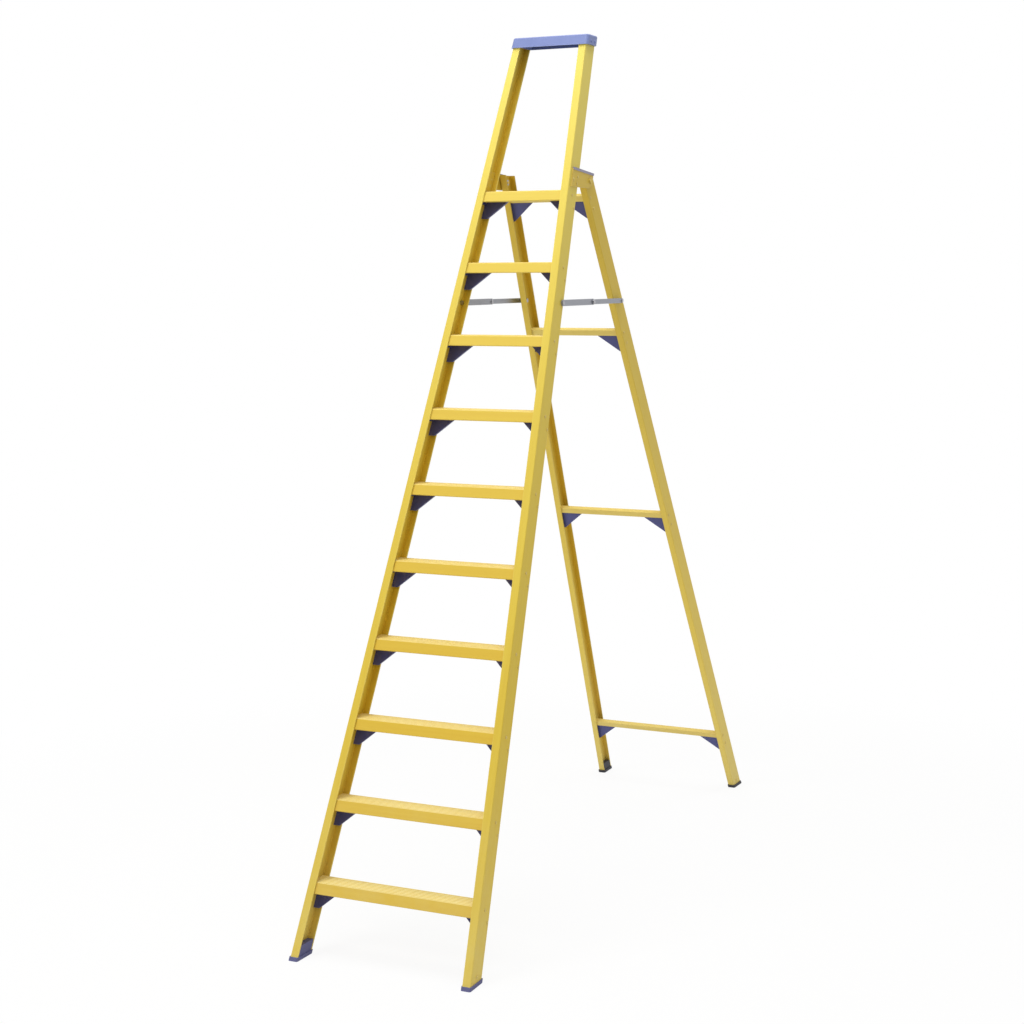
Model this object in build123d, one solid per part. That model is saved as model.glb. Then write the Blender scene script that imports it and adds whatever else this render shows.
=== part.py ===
from build123d import *
from dataclasses import dataclass
from math import cos, radians, sin, tan
import os

os.makedirs("parts", exist_ok=True)

# Overall stance, in millimetres and degrees. X is to the right seen from the
# climbing side, Y runs from the climbing side to the back frame, Z is up.
FRONT_LEAN = 24.0
REAR_LEAN = 27.0
FRONT_HALF_FLOOR = 312.5
FRONT_TAPER = 0.0606
REAR_HALF_FLOOR = 300.5

# Fibreglass channels.
FRONT_DEPTH = 75.0
FRONT_FLANGE = 26.5
REAR_DEPTH = 72.0
REAR_FLANGE = 23.0
WALL = 4.5
CORNER_RADIUS = 3.5
ROOT_RADIUS = 1.5

# Treads.
TREAD_COUNT = 10
TREAD_PITCH = 240.0
FIRST_TREAD_TOP = 224.5
TREAD_HEIGHT = 35.0
TREAD_WALL = 3.0
TREAD_NOSE = 2.5
GRIP_RIBS = 6
GRIP_RIB_HEIGHT = 1.2
GRIP_RIB_ROOT = 0.5

# Heights over the top tread, and the stay's place under it.
CAP_RISE = 499.5
HINGE_LINE_RISE = 55.5
HINGE_LINE_DEPTH = 114.6
PIVOT_RISE = 37.5
REAR_TOP_RISE = 62.5
HINGE_TOP_RISE = 74.0
STAY_DROP = 374.5

# Tread brackets, moulded: a lip on the stile under the tread, a gusset at the
# back of the channel that slopes from the flange edge to the tread, and a plug
# in the tread on a neck that passes a notch in the tread's lower wall.
BRACKET_PLATE = 5.0
BRACKET_PLUG = 34.0
BRACKET_DROP = 56.0
BRACKET_LIP = 8.0
NECK_LIP = 2.0
GUSSET_REACH = 80.0
GUSSET_THICK = 10.0
RIVET_SHARE = 0.45

# Back frame rails, measured down the back stile from the hinge line.
RAIL_1_DOWN = 92.0
RAIL_2_DOWN = 617.0
RAIL_3_DOWN = 1400.0
RAIL_4_DOWN = 2472.0
RAIL_HEIGHT = 22.0
RAIL_DEPTH = 20.0
RAIL_WALL = 2.5
RAIL_CORNER = 2.0
RAIL_GUSSET_REACH = 98.0
RAIL_GUSSET_DROP = 74.0
RAIL_GUSSET_DEPTH = 12.0

# Handrail cap.
CAP_HEIGHT = 35.0
CAP_SOCKET = 24.0
CAP_WALL = 5.0
CAP_END = 9.0
CAP_CORNER = 16.0
CAP_EDGE = 6.0
CAP_SCREW_PROUD = 1.5
CAP_SCREW_SHARES = (0.3, 0.7)

# Feet.
FRONT_SOLE = 11.0
FRONT_PLUG = 32.0
REAR_SOLE = 11.0
REAR_PLUG = 31.0
SOLE_MARGIN = 3.5
SOLE_CORNER = 6.0

# Hinge between the two frames. Rivet seats are shares of the stile's depth and
# of the plate's height.
PIVOT_DEPTH = 28.0
HINGE_GAP = 3.0
HINGE_PLATE = 4.0
HINGE_PLATE_FRONT = 15.0
HINGE_PLATE_DROP = 27.0
HINGE_PLATE_REAR = 25.0
HINGE_PLATE_REAR_RISE = 21.5
HINGE_COVER_RISE = 3.0
HINGE_COVER_DROP = 5.0
HINGE_COVER_WALL = 2.0
HINGE_RIVET_SEATS = ((0.34, 0.40), (0.75, 0.54), (0.75, 0.20))
BACKING_PLATE = 5.0
BACKING_RISE = 4.5
BACKING_HEIGHT = 64.0
BOLT_RADIUS = 6.0
BOLT_STUB_RADIUS = 5.0
BOLT_STUB_PROUD = 2.0
BOLT_HEAD_RADIUS = 10.5
BOLT_HEAD_HEIGHT = 7.0
NUT_HEIGHT = 9.0
SPACER_RADIUS = 11.0

# Folding stays.
STAY_FRONT_DEPTH = 60.0
STAY_REAR_DEPTH = 34.0
STAY_THICK = 3.0
STAY_FRONT_WIDTH = 21.0
STAY_REAR_WIDTH = 17.0
STAY_WEB_GAP = 2.2
STAY_PIN_RADIUS = 4.0
STAY_PIN_TAIL = 7.0
STAY_HEAD_RADIUS = 7.5
STAY_HEAD_HEIGHT = 2.5
STAY_BOSS_RADIUS = 9.0

# Rivets and screws.
RIVET_RADIUS = 3.0
RIVET_HEAD_RADIUS = 5.0
RIVET_HEAD_HEIGHT = 2.2
RIVET_DOME = 1.5
RIVET_GRIP = 16.0

# Clearances.
SLIP_FIT = 0.3
SEAT_FIT = 0.4
RIVET_FIT = 0.08
RUN_FIT = 0.08
FACE_GAP = 0.3
HEAD_GAP = 0.15

# How far trimming bars and cutters reach past what they trim.
FAR = 900.0
BAR_OVERRUN = 60.0
CUT_OVERRUN = 30.0
CUT_MARGIN = 1.0


@dataclass(frozen=True)
class Leg:
    """One right-hand channel stile: its lean, taper and section."""

    lean: float
    half_floor: float
    taper: float
    floor_y: float
    depth: float
    flange: float

    def y_at(self, z: float, depth: float) -> float:
        """Y of a point at this height and depth behind the front face."""
        slope = radians(self.lean)
        return self.floor_y + z * tan(slope) + depth / cos(slope)

    def depth_at(self, y: float, z: float) -> float:
        """Depth behind the front face of a point in the side view."""
        slope = radians(self.lean)
        return (y - self.floor_y) * cos(slope) - z * sin(slope)

    def run_at(self, z: float, depth: float) -> float:
        """Height of the point level with this one on the front face."""
        return z + depth * sin(radians(self.lean))

    def half_at(self, z: float, depth: float) -> float:
        """Half width over the outer web faces."""
        return self.half_floor - self.taper * self.run_at(z, depth)

    def along(self) -> Vector:
        """Direction up the stile, one unit of height long."""
        return Vector(-self.taper, tan(radians(self.lean)), 1.0)

    def back(self) -> Vector:
        """Direction square to the front face, towards the back."""
        slope = radians(self.lean)
        return Vector(0.0, cos(slope), -sin(slope))

    def outward(self) -> Vector:
        """Outward normal of the web."""
        return self.back().cross(self.along()).normalized()

    def foot(self) -> Vector:
        """Outer front corner on the floor."""
        return Vector(self.half_floor, self.floor_y, 0.0)

    def web_plane(self, inward: float) -> Plane:
        """Plane parallel to the web, this far inside its outer face."""
        normal = self.outward()
        return Plane(self.foot() - normal * inward, x_dir=self.back(), z_dir=normal)

    def web_point(self, z: float, depth: float) -> Vector:
        """Point on the outer web face."""
        return Vector(self.half_at(z, depth), self.y_at(z, depth), z)

    def channel(self, low: float, high: float) -> Part:
        """Channel section between two level cuts, open towards the inside."""
        stretch = self.along().length
        section = Plane(self.foot(), x_dir=self.back(), z_dir=self.along())
        inner_depth = self.depth - 2 * WALL
        outline = Rectangle(self.depth, self.flange, align=(Align.MIN, Align.MIN))
        hollow = Rectangle(inner_depth, self.flange, align=(Align.MIN, Align.MIN))
        profile = outline - Pos(WALL, WALL) * hollow
        corners = profile.vertices().filter_by(lambda v: v.Y < WALL / 2)
        profile = fillet(corners, CORNER_RADIUS)
        roots = profile.vertices().filter_by(
            lambda v: abs(v.Y - WALL) < 0.01 and WALL / 2 < v.X < self.depth - WALL / 2
        )
        profile = fillet(roots, ROOT_RADIUS)
        start = (low - BAR_OVERRUN) * stretch
        length = (high - low + 2 * BAR_OVERRUN) * stretch
        bar = extrude(section.offset(start) * profile, length)
        bar = split(bar, bisect_by=Plane.XY.offset(low), keep=Keep.TOP)
        return split(bar, bisect_by=Plane.XY.offset(high), keep=Keep.BOTTOM)

    def side_view(self, corners: list) -> list:
        """Side-view points of (depth, height) corners."""
        return [(self.y_at(z, d), z) for d, z in corners]

    def outline(self, low: float, high: float, front: float, rear: float) -> list:
        """Side-view outline with level ends and faces that follow the lean."""
        return self.side_view([(front, low), (rear, low), (rear, high), (front, high)])

    def cut(self, outline: list, outer: float, inner: float) -> Part:
        """Bar with a side-view outline, between two planes parallel to the web."""
        bar = cross_bar(outline, 0.0, FAR)
        bar = split(bar, bisect_by=self.web_plane(outer), keep=Keep.BOTTOM)
        return split(bar, bisect_by=self.web_plane(inner), keep=Keep.TOP)

    def block(self, low, high, front, rear, outer, inner) -> Part:
        """Slanted block between two planes parallel to the web."""
        return self.cut(self.outline(low, high, front, rear), outer, inner)

    def sheet(self, corners: list, inward: float, thickness: float) -> Part:
        """Flat sheet parallel to the web, from (depth, height) corners."""
        stretch = self.along().length
        flat = [(d, self.run_at(z, d) * stretch) for d, z in corners]
        face = self.web_plane(inward) * Polygon(*flat, align=None)
        return extrude(face, thickness, dir=self.outward())


def cross_bar(outline: list, start: float, end: float) -> Part:
    """Bar along X with the given side-view outline."""
    face = Plane.YZ.offset(start) * Polygon(*outline, align=None)
    return extrude(face, end - start, dir=(1, 0, 0))


def tube(shell: list, core: list, corner: float) -> Sketch:
    """Hollow section with rounded outer corners."""
    outside = Polygon(*shell, align=None)
    return fillet(outside.vertices(), corner) - Polygon(*core, align=None)


def between(part: Part, leg: Leg, inward: float) -> Part:
    """Trim a bar to end on both webs."""
    right = leg.web_plane(inward)
    left_origin = Vector(-right.origin.X, right.origin.Y, right.origin.Z)
    left_normal = Vector(-right.z_dir.X, right.z_dir.Y, right.z_dir.Z)
    left = Plane(left_origin, z_dir=left_normal)
    part = split(part, bisect_by=right, keep=Keep.BOTTOM)
    return split(part, bisect_by=left, keep=Keep.BOTTOM)


def other_side(part: Part) -> Part:
    """Left-hand twin of a right-hand piece."""
    return mirror(part, about=Plane.YZ)


def pair(part: Part) -> list:
    """Right-hand piece and its left-hand twin."""
    return [part, other_side(part)]


def rod(radius: float, x_from: float, x_to: float, y: float, z: float) -> Part:
    """Round bar along X."""
    start = Plane(Vector(x_from, y, z), z_dir=(1, 0, 0))
    return extrude(start * Circle(radius), x_to - x_from)


def hexagon(radius: float, x_from: float, x_to: float, y: float, z: float) -> Part:
    """Six-sided bar along X."""
    start = Plane(Vector(x_from, y, z), x_dir=(0, 1, 0), z_dir=(1, 0, 0))
    return extrude(start * RegularPolygon(radius, 6), x_to - x_from)


def rivet(seat: Vector, outward: Vector, grip: float) -> Part:
    """Domed rivet with its head on the seat and its shank going inwards."""
    place = Plane(seat, z_dir=outward)
    head = extrude(place * Circle(RIVET_HEAD_RADIUS), RIVET_HEAD_HEIGHT)
    far_rim = [e for e in head.edges() if (e.center() - seat).dot(outward) > RIVET_HEAD_HEIGHT / 2]
    head = fillet(far_rim, RIVET_DOME)
    shank = extrude(place * Circle(RIVET_RADIUS), -grip)
    return head + shank


def rivet_hole(seat: Vector, outward: Vector, grip: float) -> Part:
    """Hole that takes one rivet shank."""
    place = Plane(seat + outward * CUT_MARGIN, z_dir=outward)
    return extrude(place * Circle(RIVET_RADIUS + RIVET_FIT), -(grip + CUT_MARGIN + FACE_GAP))


# The hinge hangs over the top tread. The pivot lies on the middle of the back
# stile, and the back frame tapers so that its webs pass the hinge plates with
# the stated gap.
top_tread = FIRST_TREAD_TOP + TREAD_PITCH * (TREAD_COUNT - 1)
hinge_line_z = top_tread + HINGE_LINE_RISE
pivot_z = top_tread + PIVOT_RISE
stay_z = top_tread - STAY_DROP
cap_bottom = top_tread + CAP_RISE
front_leg = Leg(FRONT_LEAN, FRONT_HALF_FLOOR, FRONT_TAPER, 0.0, FRONT_DEPTH, FRONT_FLANGE)
hinge_line_y = front_leg.y_at(hinge_line_z, HINGE_LINE_DEPTH)
rear_floor_y = hinge_line_y + hinge_line_z * tan(radians(REAR_LEAN))
rear_guide = Leg(-REAR_LEAN, REAR_HALF_FLOOR, 0.0, rear_floor_y, REAR_DEPTH, REAR_FLANGE)
pivot_y = rear_guide.y_at(pivot_z, PIVOT_DEPTH)
pivot_front_depth = front_leg.depth_at(pivot_y, pivot_z)
plate_inner_x = front_leg.half_at(pivot_z, pivot_front_depth)
rear_taper = (REAR_HALF_FLOOR - plate_inner_x + HINGE_GAP) / rear_guide.run_at(pivot_z, PIVOT_DEPTH)
rear_leg = Leg(-REAR_LEAN, REAR_HALF_FLOOR, rear_taper, rear_floor_y, REAR_DEPTH, REAR_FLANGE)
front_out = front_leg.outward()
rear_out = rear_leg.outward()

solids = {}

# Front and back stiles, before their holes.
cap_seat_z = cap_bottom + CAP_SOCKET
front_stile = front_leg.channel(FRONT_SOLE, cap_seat_z)
rear_stile = rear_leg.channel(REAR_SOLE, top_tread + REAR_TOP_RISE)

# Treads with their brackets and rivets.
inner_front = WALL + ROOT_RADIUS
inner_back = FRONT_DEPTH - WALL - ROOT_RADIUS
gusset_face = inner_back - GUSSET_THICK
front_rivets = []
front_holes = []
for number in range(1, TREAD_COUNT + 1):
    top = FIRST_TREAD_TOP + TREAD_PITCH * (number - 1)
    under = top - TREAD_HEIGHT
    skin_top = top - GRIP_RIB_HEIGHT
    shell = front_leg.outline(under, skin_top, inner_front, inner_back)
    core = front_leg.outline(
        under + TREAD_WALL, skin_top - TREAD_WALL, inner_front + TREAD_WALL, inner_back - TREAD_WALL
    )
    section = tube(shell, core, TREAD_NOSE)
    span = (inner_back - inner_front) / (2 * GRIP_RIBS)
    for rib in range(GRIP_RIBS):
        rib_front = inner_front + span / 2 + 2 * span * rib
        rib_face = front_leg.outline(skin_top - GRIP_RIB_ROOT, top, rib_front, rib_front + span)
        section = section + Polygon(*rib_face, align=None)
    bar = extrude(Plane.YZ.offset(-FAR) * section, 2 * FAR, dir=(1, 0, 0))
    notch = front_leg.block(
        under - CUT_MARGIN,
        under + TREAD_WALL + CUT_MARGIN,
        inner_front + TREAD_WALL + NECK_LIP,
        inner_back - TREAD_WALL - NECK_LIP,
        WALL - CUT_MARGIN,
        WALL + BRACKET_PLATE + SLIP_FIT,
    )
    tread = between(bar, front_leg, WALL) - notch - other_side(notch)
    solids[f"tread_{number:02d}"] = [tread]

    root = under - BRACKET_DROP
    plate_outline = front_leg.side_view(
        [
            (inner_front, under),
            (inner_front, under - BRACKET_LIP),
            (gusset_face, under - BRACKET_LIP),
            (gusset_face, root),
            (inner_back, root),
            (inner_back, under),
        ]
    )
    plate = front_leg.cut(plate_outline, WALL, WALL + BRACKET_PLATE)
    plug_gap = TREAD_WALL + SLIP_FIT
    neck = front_leg.block(
        under,
        under + plug_gap,
        inner_front + plug_gap + NECK_LIP,
        inner_back - plug_gap - NECK_LIP,
        WALL,
        WALL + BRACKET_PLATE,
    )
    plug = front_leg.block(
        under + plug_gap,
        skin_top - plug_gap,
        inner_front + plug_gap,
        inner_back - plug_gap,
        WALL,
        WALL + BRACKET_PLATE + BRACKET_PLUG,
    )
    gusset_inner = WALL + BRACKET_PLATE + GUSSET_REACH
    gusset = front_leg.block(root, under, gusset_face, inner_back, WALL, gusset_inner)
    tip_x = front_leg.half_at(under, gusset_face) - gusset_inner
    root_x = front_leg.half_at(root, gusset_face) - FRONT_FLANGE
    slope_dir = Vector(root_x - tip_x, 0.0, -BRACKET_DROP)
    slope_normal = Vector(BRACKET_DROP, 0.0, root_x - tip_x).normalized()
    slope_plane = Plane(
        Vector(tip_x, 0.0, under), x_dir=slope_dir.normalized(), z_dir=slope_normal
    )
    gusset = split(gusset, bisect_by=slope_plane, keep=Keep.TOP)
    bracket = plate + neck + plug + gusset

    seats = [
        front_leg.web_point(top - TREAD_HEIGHT / 2, FRONT_DEPTH / 2),
        front_leg.web_point(under - BRACKET_DROP * RIVET_SHARE, inner_back - GUSSET_THICK / 2),
    ]
    for seat in seats:
        hole = rivet_hole(seat, front_out, RIVET_GRIP)
        bracket = bracket - hole
        front_holes.append(hole)
        front_rivets += pair(rivet(seat, front_out, RIVET_GRIP))
    solids[f"tread_brackets_{number:02d}"] = pair(bracket)

# Front feet: a sole under the stile end and a plug up the channel.
sole = front_leg.block(
    0.0, FRONT_SOLE, -SOLE_MARGIN, FRONT_DEPTH + SOLE_MARGIN, -SOLE_MARGIN, FRONT_FLANGE + SOLE_MARGIN
)
upright = sole.edges().filter_by(lambda e: abs(e.tangent_at(0.5).Z) > 0.5)
sole = fillet(upright, SOLE_CORNER)
plug = front_leg.block(FRONT_SOLE, FRONT_SOLE + FRONT_PLUG, inner_front, inner_back, WALL, FRONT_FLANGE)
seat = front_leg.web_point(FRONT_SOLE + FRONT_PLUG / 2, FRONT_DEPTH / 2)
hole = rivet_hole(seat, front_out, RIVET_GRIP)
front_holes.append(hole)
front_rivets += pair(rivet(seat, front_out, RIVET_GRIP))
front_foot = sole + plug - hole
solids["front_foot_right"] = [front_foot]
solids["front_foot_left"] = [other_side(front_foot)]

# Handrail cap, a moulded shell with a socket on each stile end.
cap_top = cap_bottom + CAP_HEIGHT
cap_bar = cross_bar(
    front_leg.outline(cap_bottom, cap_top, -CAP_WALL, FRONT_DEPTH + CAP_WALL), -FAR, FAR
)
cap = between(cap_bar, front_leg, -CAP_END)
upright = cap.edges().filter_by(
    lambda e: abs(e.tangent_at(0.5).Z) > 0.5 and abs(e.center().X) > FRONT_FLANGE
)
cap = fillet(upright, CAP_CORNER)
cap = fillet(cap.faces().sort_by(Axis.Z)[-1].edges(), CAP_EDGE)
socket = front_leg.block(
    cap_bottom - CUT_MARGIN, cap_seat_z, -SEAT_FIT, FRONT_DEPTH + SEAT_FIT, -SEAT_FIT, FRONT_FLANGE + SEAT_FIT
)
recess_bar = cross_bar(
    front_leg.outline(cap_bottom - CUT_MARGIN, cap_top - CAP_WALL, 0.0, FRONT_DEPTH), -FAR, FAR
)
recess = between(recess_bar, front_leg, FRONT_FLANGE + CAP_WALL)
cap = cap - socket - other_side(socket) - recess
cap_screws = []
for share in CAP_SCREW_SHARES:
    on_web = front_leg.web_point(cap_bottom + CAP_SOCKET / 2, FRONT_DEPTH * share)
    seat = on_web + front_out * CAP_END
    grip = CAP_END + WALL + CAP_SCREW_PROUD
    hole = rivet_hole(seat, front_out, grip)
    front_holes.append(hole)
    cap = cap - hole - other_side(hole)
    cap_screws += pair(rivet(seat, front_out, grip))
solids["top_cap"] = [cap]
solids["cap_screws"] = cap_screws

# Hinge plates on the outside of the front stiles, reaching back to the pivot.
plate_top = top_tread + HINGE_TOP_RISE
plate_low = pivot_z - HINGE_PLATE_DROP
plate_rear = pivot_front_depth + HINGE_PLATE_REAR
plate_rear_top = pivot_z + HINGE_PLATE_REAR_RISE
plate_corners = [
    (HINGE_PLATE_FRONT, plate_top),
    (HINGE_PLATE_FRONT, plate_low),
    (pivot_front_depth, plate_low),
    (plate_rear, pivot_z - HINGE_PLATE_DROP / 2),
    (plate_rear, plate_rear_top),
]
hinge_plate = front_leg.sheet(plate_corners, 0.0, HINGE_PLATE)
cover_corners = [
    (HINGE_PLATE_FRONT, plate_top + HINGE_COVER_RISE),
    (HINGE_PLATE_FRONT, plate_top - HINGE_COVER_DROP),
    (plate_rear, plate_rear_top - HINGE_COVER_DROP),
    (plate_rear, plate_rear_top + HINGE_COVER_RISE),
]
hinge_cover = front_leg.sheet(cover_corners, 0.0, HINGE_PLATE + HINGE_COVER_WALL) - hinge_plate
backing_low = top_tread + BACKING_RISE
backing_corners = [
    (inner_front, backing_low + BACKING_HEIGHT),
    (inner_front, backing_low),
    (inner_back, backing_low),
    (inner_back, backing_low + BACKING_HEIGHT),
]
hinge_backing = front_leg.sheet(backing_corners, WALL + BACKING_PLATE, BACKING_PLATE)
hinge_rivets = []
hinge_grip = HINGE_PLATE + WALL + BACKING_PLATE
for depth_share, height_share in HINGE_RIVET_SEATS:
    height = plate_low + (plate_top - plate_low) * height_share
    on_web = front_leg.web_point(height, FRONT_DEPTH * depth_share)
    seat = on_web + front_out * HINGE_PLATE
    hole = rivet_hole(seat, front_out, hinge_grip)
    front_holes.append(hole)
    hinge_plate = hinge_plate - hole
    hinge_backing = hinge_backing - hole
    hinge_rivets += pair(rivet(seat, front_out, hinge_grip))
solids["hinge_rivets"] = hinge_rivets

# Hinge bolts along X with spacers and nuts.
plate_outer_x = plate_inner_x + HINGE_PLATE
head_seat_x = plate_outer_x - BOLT_HEAD_RADIUS * FRONT_TAPER - FACE_GAP
rear_outer_x = rear_leg.half_at(pivot_z, PIVOT_DEPTH)
spacer_x = rear_outer_x + SPACER_RADIUS * rear_taper + FACE_GAP
nut_x = rear_outer_x - WALL - BOLT_HEAD_RADIUS * rear_taper - 2 * FACE_GAP
shank_hole = rod(BOLT_RADIUS + RUN_FIT, nut_x - CUT_OVERRUN, plate_outer_x + CUT_OVERRUN, pivot_y, pivot_z)
spot_face = rod(BOLT_HEAD_RADIUS + SEAT_FIT, head_seat_x, plate_outer_x + CUT_OVERRUN, pivot_y, pivot_z)
hinge_plate = hinge_plate - shank_hole - spot_face
hinge_cover = hinge_cover - spot_face
bolt = hexagon(BOLT_HEAD_RADIUS, head_seat_x, head_seat_x + BOLT_HEAD_HEIGHT, pivot_y, pivot_z)
bolt = bolt + rod(BOLT_RADIUS, nut_x, head_seat_x, pivot_y, pivot_z)
bolt = bolt + rod(BOLT_STUB_RADIUS, nut_x - NUT_HEIGHT - BOLT_STUB_PROUD, nut_x, pivot_y, pivot_z)
nut = hexagon(BOLT_HEAD_RADIUS, nut_x - NUT_HEIGHT, nut_x, pivot_y, pivot_z)
nut = nut - rod(BOLT_STUB_RADIUS + RUN_FIT, nut_x - CUT_OVERRUN, nut_x + CUT_MARGIN, pivot_y, pivot_z)
spacer = rod(SPACER_RADIUS, spacer_x, plate_outer_x, pivot_y, pivot_z) - shank_hole
spacer = split(spacer, bisect_by=front_leg.web_plane(0.0), keep=Keep.BOTTOM)
rear_stile = rear_stile - shank_hole
solids["hinge_plate_right"] = [hinge_plate]
solids["hinge_plate_left"] = [other_side(hinge_plate)]
solids["hinge_cover_right"] = [hinge_cover]
solids["hinge_cover_left"] = [other_side(hinge_cover)]
solids["hinge_backing_right"] = [hinge_backing]
solids["hinge_backing_left"] = [other_side(hinge_backing)]
solids["hinge_bolts"] = pair(bolt)
solids["hinge_nuts"] = pair(nut)
solids["hinge_spacers"] = pair(spacer)

# Folding stays on the outside, each of two flat links joined by a pin.
stay_front_y = front_leg.y_at(stay_z, STAY_FRONT_DEPTH)
stay_rear_y = rear_leg.y_at(stay_z, STAY_REAR_DEPTH)
stay_mid_y = (stay_front_y + stay_rear_y) / 2
link_x = front_leg.half_at(stay_z, STAY_FRONT_DEPTH) + STAY_WEB_GAP
outer_link_x = link_x + STAY_THICK + FACE_GAP


def stay_link(x_from: float, width: float, y_from: float, y_to: float) -> Part:
    """Flat bar with round ends between two pin centres."""
    face = Plane(Vector(x_from, (y_from + y_to) / 2, stay_z), x_dir=(0, 1, 0), z_dir=(1, 0, 0))
    return extrude(face * SlotCenterToCenter(y_to - y_from, width), STAY_THICK)


pin_hole_radius = STAY_PIN_RADIUS + RUN_FIT
front_link = stay_link(link_x, STAY_FRONT_WIDTH, stay_front_y, stay_mid_y)
rear_link = stay_link(outer_link_x, STAY_REAR_WIDTH, stay_mid_y, stay_rear_y)
for y in (stay_front_y, stay_mid_y):
    front_link = front_link - rod(pin_hole_radius, link_x - CUT_OVERRUN, link_x + CUT_OVERRUN, y, stay_z)
for y in (stay_mid_y, stay_rear_y):
    rear_link = rear_link - rod(pin_hole_radius, link_x - CUT_OVERRUN, link_x + CUT_OVERRUN, y, stay_z)
link_face = link_x + STAY_THICK
outer_face = outer_link_x + STAY_THICK

pin_tail_x = link_x - STAY_WEB_GAP - WALL - STAY_PIN_TAIL
front_web_plane = front_leg.web_plane(0.0)
front_web_inner = front_leg.web_plane(WALL)
front_pin = rod(STAY_HEAD_RADIUS, link_x - CUT_OVERRUN, link_x - HEAD_GAP, stay_front_y, stay_z)
collar = split(front_pin, bisect_by=front_web_plane, keep=Keep.TOP)
tail_rod = rod(STAY_HEAD_RADIUS, pin_tail_x, link_x, stay_front_y, stay_z)
tail = split(tail_rod, bisect_by=front_web_inner, keep=Keep.BOTTOM)
shank = rod(STAY_PIN_RADIUS, pin_tail_x, link_face + HEAD_GAP, stay_front_y, stay_z)
head_from = link_face + HEAD_GAP
head = rod(STAY_HEAD_RADIUS, head_from, head_from + STAY_HEAD_HEIGHT, stay_front_y, stay_z)
solids["stay_front_pins"] = pair(collar + tail + shank + head)
front_holes.append(rod(pin_hole_radius, link_x - CUT_OVERRUN, link_x + CUT_OVERRUN, stay_front_y, stay_z))

rear_web_plane = rear_leg.web_plane(0.0)
rear_web_inner = rear_leg.web_plane(WALL)
rear_web_x = rear_leg.half_at(stay_z, STAY_REAR_DEPTH)
boss_tail_x = rear_web_x - WALL - STAY_PIN_TAIL
boss_rod = rod(STAY_BOSS_RADIUS, rear_web_x - CUT_OVERRUN, outer_link_x - FACE_GAP, stay_rear_y, stay_z)
boss = split(boss_rod, bisect_by=rear_web_plane, keep=Keep.TOP)
tail_rod = rod(STAY_HEAD_RADIUS, boss_tail_x, rear_web_x, stay_rear_y, stay_z)
tail = split(tail_rod, bisect_by=rear_web_inner, keep=Keep.BOTTOM)
shank = rod(STAY_PIN_RADIUS, boss_tail_x, rear_web_x + CUT_MARGIN, stay_rear_y, stay_z)
solids["stay_bosses"] = pair(boss + tail + shank)
boss_hole = rod(pin_hole_radius, rear_web_x - CUT_OVERRUN, rear_web_x + CUT_OVERRUN, stay_rear_y, stay_z)
rear_stile = rear_stile - boss_hole

knuckle = rod(STAY_PIN_RADIUS, link_x - HEAD_GAP, outer_face, stay_mid_y, stay_z)
inner_head = rod(
    STAY_HEAD_RADIUS, link_x - HEAD_GAP - STAY_HEAD_HEIGHT, link_x - HEAD_GAP, stay_mid_y, stay_z
)
outer_head = rod(STAY_HEAD_RADIUS, outer_face, outer_face + STAY_HEAD_HEIGHT, stay_mid_y, stay_z)
end_pin = rod(STAY_PIN_RADIUS, outer_link_x, outer_face, stay_rear_y, stay_z)
end_head = rod(STAY_HEAD_RADIUS, outer_face, outer_face + STAY_HEAD_HEIGHT, stay_rear_y, stay_z)
stay_pins = [knuckle + inner_head + outer_head, end_pin + end_head]
solids["stay_front_link_right"] = [front_link]
solids["stay_front_link_left"] = [other_side(front_link)]
solids["stay_rear_link_right"] = [rear_link]
solids["stay_rear_link_left"] = [other_side(rear_link)]
solids["stay_pins_right"] = stay_pins
solids["stay_pins_left"] = [other_side(pin) for pin in stay_pins]

# Back frame rails, square to the back stiles, with brackets like the treads'.
rear_cos = cos(radians(REAR_LEAN))
rear_sin = sin(radians(REAR_LEAN))
rail_front = WALL + ROOT_RADIUS


def rear_point(station: float, depth: float) -> tuple:
    """Side-view point at a station down the back stile."""
    y = hinge_line_y + station * rear_sin + depth * rear_cos
    z = hinge_line_z - station * rear_cos + depth * rear_sin
    return (y, z)


def rear_box(upper: float, lower: float, front: float, back: float) -> list:
    """Side-view rectangle square to the back stile."""
    return [
        rear_point(lower, front),
        rear_point(lower, back),
        rear_point(upper, back),
        rear_point(upper, front),
    ]


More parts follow.
